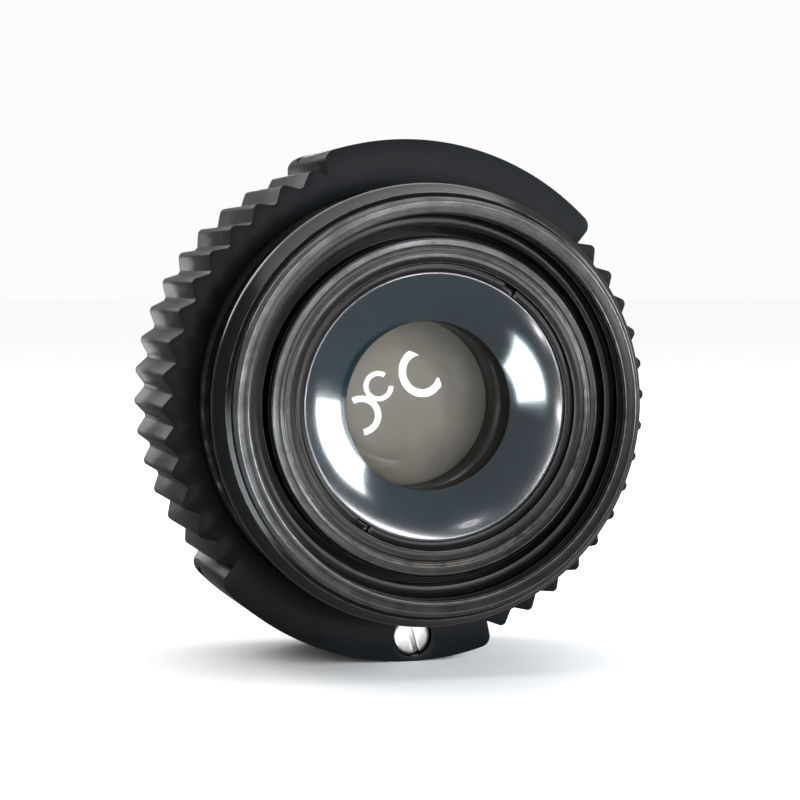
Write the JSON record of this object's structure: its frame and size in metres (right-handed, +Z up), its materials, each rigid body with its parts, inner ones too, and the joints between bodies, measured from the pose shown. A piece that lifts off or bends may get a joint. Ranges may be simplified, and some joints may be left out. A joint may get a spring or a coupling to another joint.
{
  "type": "telescope eyepiece",
  "caption": "Round focusing eyepiece of a surveying telescope: knurled dioptre ring with two smooth lugs on a flanged black barrel, moving a lens cell along its axis.",
  "frame": {"origin": "middle of the rear seat, on the optical axis", "axes": "+Y out of the rear seat into the telescope along the optical axis, -Y towards the eye, +Z up, +X right"},
  "size_m": [0.04, 0.0245, 0.042],
  "materials": {
    "black_barrel": "gloss black anodised",
    "black_grip": "satin black anodised",
    "slate_face": "satin, fine grain",
    "turned_grey": "fine turned",
    "cone_gloss": "polished dark",
    "coated_glass": "coated, polished",
    "bright_steel": "bright",
    "spring_steel": "plain",
    "black_rubber": "matte"
  },
  "bodies": {
    "base": {"mount_flange": "black_barrel", "neck_sleeve": "black_barrel", "neck_seal": "black_rubber", "snap_ring": "spring_steel", "stop_pin": "spring_steel", "guide_screw": "spring_steel"},
    "focus_ring": {"knurled_ring": "black_grip", "face_plate": "slate_face", "face_gasket": "black_rubber", "helicoid_ring": "turned_grey", "grub_screw_1": "bright_steel", "grub_screw_2": "bright_steel", "grub_screw_3": "bright_steel", "lug_screw": "bright_steel"},
    "lens_cell": {"lens_cell": "black_barrel", "front_bezel": "black_barrel", "eye_lens_crown": "coated_glass", "eye_lens_flint": "coated_glass", "lens_spacer": "black_barrel", "field_lens_crown": "coated_glass", "field_lens_flint": "coated_glass", "cone_baffle": "cone_gloss", "rear_retaining_ring": "black_barrel", "cell_seal": "black_rubber"}
  },
  "joints": [
    {"name": "focus_turn", "type": "hinge", "parent": "base", "child": "focus_ring", "pos_m": [0, -0.017, 0], "axis": [0, -1, 0], "range_deg": [-135, 135]},
    {"name": "cell_slide", "type": "slide", "parent": "base", "child": "lens_cell", "axis": [0, -1, 0], "range_m": [-0.0008, 0.0008]}
  ],
  "couplings": [
    {"joint": "focus_turn", "follows": "cell_slide", "rad_per_m": 2908.9}
  ]
}
